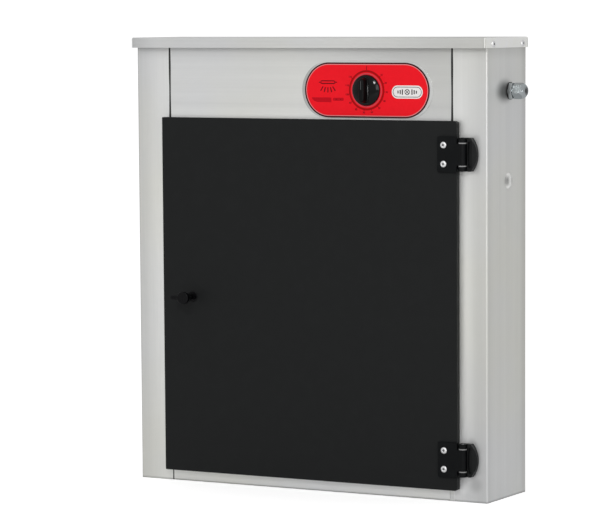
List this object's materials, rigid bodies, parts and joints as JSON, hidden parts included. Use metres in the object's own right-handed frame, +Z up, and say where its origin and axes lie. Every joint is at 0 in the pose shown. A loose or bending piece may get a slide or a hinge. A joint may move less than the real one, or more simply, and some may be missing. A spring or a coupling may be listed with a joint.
{
  "type": "knife sterilizer cabinet",
  "caption": "Wall cabinet of folded sheet with a smoked hinged door, turn latch, timer knob, and an inner lamp and knife rack.",
  "frame": {"origin": "middle of the base's underside, in the middle of the case's depth", "axes": "+X to the right as the door is faced, +Y to the back (the wall), +Z up"},
  "size_m": [0.5887, 0.165, 0.64],
  "materials": {
    "case_steel": "satin stainless sheet",
    "bright_steel": "fine brushed grain",
    "zinc_steel": "bright zinc",
    "plate_aluminium": "satin",
    "rivet_aluminium": "bright",
    "label_print": "red printed film with black rim",
    "knob_black": "gloss",
    "hinge_black": "moulded grain",
    "latch_black": "gloss",
    "door_smoked": "smoked, polished",
    "washer_nylon": "moulded",
    "seal_rubber": "matte",
    "gland_nickel": "nickel plated",
    "plug_nickel": "nickel plated",
    "switch_plastic": "moulded",
    "white_plastic": "moulded",
    "timer_case": "moulded",
    "lamp_glass": "clear",
    "lamp_cap": "bright",
    "brass": "bright",
    "ballast_paint": "semi gloss",
    "wire_sleeve": "smooth"
  },
  "bodies": {
    "case": {"side_left": "case_steel", "side_right": "case_steel", "base_panel": "case_steel", "back_panel": "case_steel", "front_fascia": "case_steel", "equipment_floor": "case_steel", "lid": "case_steel", "lid_rivets": "rivet_aluminium", "control_plate": "plate_aluminium", "control_label": "label_print", "timer_body": "timer_case", "timer_screws": "zinc_steel", "hinge_frame_leaf_upper": "hinge_black", "hinge_frame_leaf_lower": "hinge_black", "hinge_cover_upper": "hinge_black", "hinge_cover_lower": "hinge_black", "hinge_pin_upper": "zinc_steel", "hinge_pin_lower": "zinc_steel", "hinge_washers": "washer_nylon", "hinge_frame_screws": "zinc_steel", "switch_body": "switch_plastic", "switch_screws": "zinc_steel", "gland_washer": "seal_rubber", "gland_body": "gland_nickel", "gland_cap": "gland_nickel", "gland_insert": "seal_rubber", "gland_locknut": "gland_nickel", "round_plug": "plug_nickel", "lamp_tube": "lamp_glass", "lamp_caps": "lamp_cap", "lamp_pins": "brass", "lamp_holders": "white_plastic", "lamp_holder_screws": "zinc_steel", "lamp_reflector": "bright_steel", "rack_arm_left": "bright_steel", "rack_arm_right": "bright_steel", "rack_arm_rivets": "rivet_aluminium", "ballast": "ballast_paint", "ballast_screws": "zinc_steel", "starter_base": "white_plastic", "starter": "white_plastic", "terminal_block": "white_plastic", "earth_stud": "brass", "earth_nut": "brass", "wiring": "wire_sleeve"},
    "door": {"door_pane": "door_smoked", "door_seal": "seal_rubber", "hinge_door_leaf_upper": "hinge_black", "hinge_door_leaf_lower": "hinge_black", "hinge_door_rivets": "rivet_aluminium", "latch_rosette": "latch_black", "latch_nut": "zinc_steel"},
    "latch": {"latch_knob": "latch_black", "latch_spindle": "zinc_steel", "latch_cam": "zinc_steel", "latch_screw": "zinc_steel"},
    "timer": {"timer_knob": "knob_black", "timer_spindle": "zinc_steel"},
    "switch_plunger": {"switch_plunger": "white_plastic"},
    "rack": {"knife_rack": "bright_steel"}
  },
  "joints": [
    {"name": "door_hinge", "type": "hinge", "parent": "case", "child": "door", "pos_m": [0.2467, -0.071, 0.27], "axis": [0, 0, 1], "range_deg": [0, 120]},
    {"name": "latch_turn", "type": "hinge", "parent": "door", "child": "latch", "pos_m": [-0.1847, -0.09, 0.2696], "axis": [0, -1, 0], "range_deg": [0, 90]},
    {"name": "timer_turn", "type": "hinge", "parent": "case", "child": "timer", "pos_m": [0.095, -0.07, 0.5671], "axis": [0, 1, 0], "range_deg": [0, 306]},
    {"name": "switch_press", "type": "slide", "parent": "case", "child": "switch_plunger", "axis": [0, 1, 0], "range_m": [0, 0.003], "stiffness_N_per_m": 300, "springref_m": -0.001},
    {"name": "rack_lift", "type": "slide", "parent": "case", "child": "rack", "axis": [0, 0, 1], "range_m": [0, 0.015]}
  ]
}
